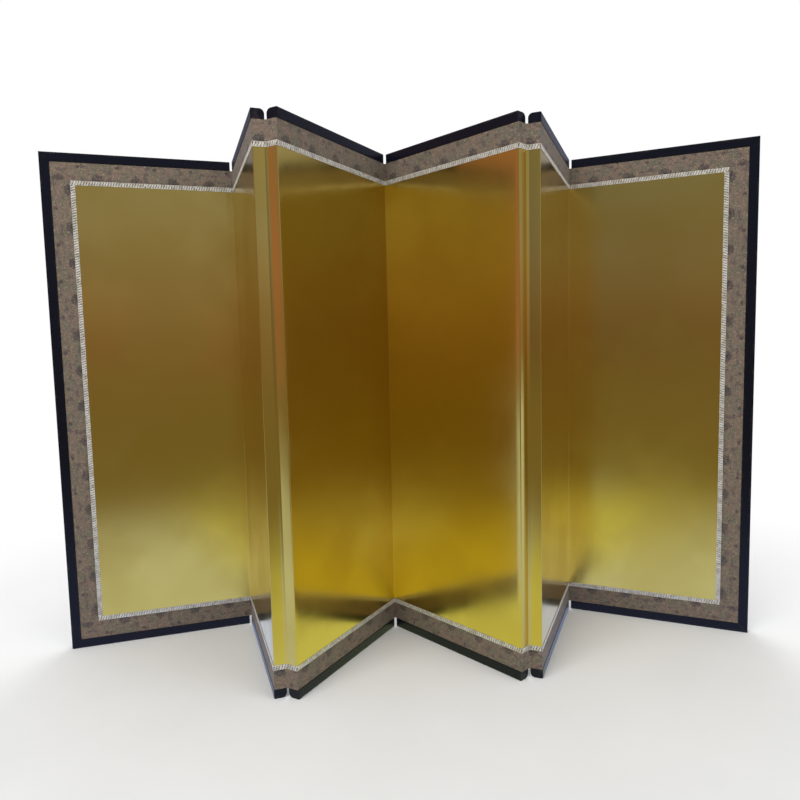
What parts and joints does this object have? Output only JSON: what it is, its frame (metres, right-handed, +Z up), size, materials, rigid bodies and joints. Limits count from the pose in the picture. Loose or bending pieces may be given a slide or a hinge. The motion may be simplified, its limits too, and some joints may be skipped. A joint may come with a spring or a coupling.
{
  "type": "folding screen",
  "caption": "Free-standing zigzag folding screen: gold-papered panels with brocade and braid borders, black lacquer rails and paper hinges, used to divide or back a space.",
  "frame": {"origin": "middle of the standing screen's outline, on the floor", "axes": "+X along the span from the first panel to the last, +Y towards the plain back, +Z up"},
  "size_m": [1.706, 0.436, 1.212],
  "materials": {
    "cedar": "planed, unfinished",
    "black_lacquer": "satin black lacquer",
    "gold_paper": "polished gold foil paper",
    "backing_paper": "matt printed paper",
    "hinge_paper": "matt tough paper",
    "brocade": "woven silk with dark medallions",
    "silver_braid": "twisted silver thread",
    "nail_steel": "dull"
  },
  "bodies": {
    "panel_1": {"panel_1_core": "cedar", "panel_1_hinge_paper": "hinge_paper", "panel_1_gold_paper": "gold_paper", "panel_1_back_paper": "backing_paper", "panel_1_brocade": "brocade", "panel_1_braid": "silver_braid", "panel_1_bottom_rail": "black_lacquer", "panel_1_top_rail": "black_lacquer", "panel_1_rail_nails": "nail_steel", "panel_1_end_stile": "black_lacquer"},
    "panel_2": {"panel_2_core": "cedar", "panel_2_hinge_paper": "hinge_paper", "panel_2_gold_paper": "gold_paper", "panel_2_back_paper": "backing_paper", "panel_2_brocade": "brocade", "panel_2_braid": "silver_braid", "panel_2_bottom_rail": "black_lacquer", "panel_2_top_rail": "black_lacquer", "panel_2_rail_nails": "nail_steel"},
    "panel_3": {"panel_3_core": "cedar", "panel_3_hinge_paper": "hinge_paper", "panel_3_gold_paper": "gold_paper", "panel_3_back_paper": "backing_paper", "panel_3_brocade": "brocade", "panel_3_braid": "silver_braid", "panel_3_bottom_rail": "black_lacquer", "panel_3_top_rail": "black_lacquer", "panel_3_rail_nails": "nail_steel"},
    "panel_4": {"panel_4_core": "cedar", "panel_4_hinge_paper": "hinge_paper", "panel_4_gold_paper": "gold_paper", "panel_4_back_paper": "backing_paper", "panel_4_brocade": "brocade", "panel_4_braid": "silver_braid", "panel_4_bottom_rail": "black_lacquer", "panel_4_top_rail": "black_lacquer", "panel_4_rail_nails": "nail_steel"},
    "panel_5": {"panel_5_core": "cedar", "panel_5_hinge_paper": "hinge_paper", "panel_5_gold_paper": "gold_paper", "panel_5_back_paper": "backing_paper", "panel_5_brocade": "brocade", "panel_5_braid": "silver_braid", "panel_5_bottom_rail": "black_lacquer", "panel_5_top_rail": "black_lacquer", "panel_5_rail_nails": "nail_steel"},
    "panel_6": {"panel_6_core": "cedar", "panel_6_hinge_paper": "hinge_paper", "panel_6_gold_paper": "gold_paper", "panel_6_back_paper": "backing_paper", "panel_6_brocade": "brocade", "panel_6_braid": "silver_braid", "panel_6_bottom_rail": "black_lacquer", "panel_6_top_rail": "black_lacquer", "panel_6_rail_nails": "nail_steel", "panel_6_end_stile": "black_lacquer"}
  },
  "joints": [
    {"name": "fold_2", "type": "hinge", "parent": "panel_3", "child": "panel_2", "pos_m": [-0.27855, -0.20397, 0.606], "axis": [0, 0, 1], "range_deg": [-48.8, 131.2]},
    {"name": "fold_1", "type": "hinge", "parent": "panel_2", "child": "panel_1", "pos_m": [-0.42376, 0.18156, 0.606], "axis": [0, 0, -1], "range_deg": [-91.7, 88.3]},
    {"name": "fold_3", "type": "hinge", "parent": "panel_3", "child": "panel_4", "pos_m": [-0.03617, 0.12915, 0.606], "axis": [0, 0, 1], "range_deg": [-72.4, 107.6]},
    {"name": "fold_4", "type": "hinge", "parent": "panel_4", "child": "panel_5", "pos_m": [0.25125, -0.166, 0.606], "axis": [0, 0, -1], "range_deg": [-65.2, 114.8]},
    {"name": "fold_5", "type": "hinge", "parent": "panel_5", "child": "panel_6", "pos_m": [0.44996, 0.19488, 0.606], "axis": [0, 0, 1], "range_deg": [-88.7, 91.3]}
  ]
}
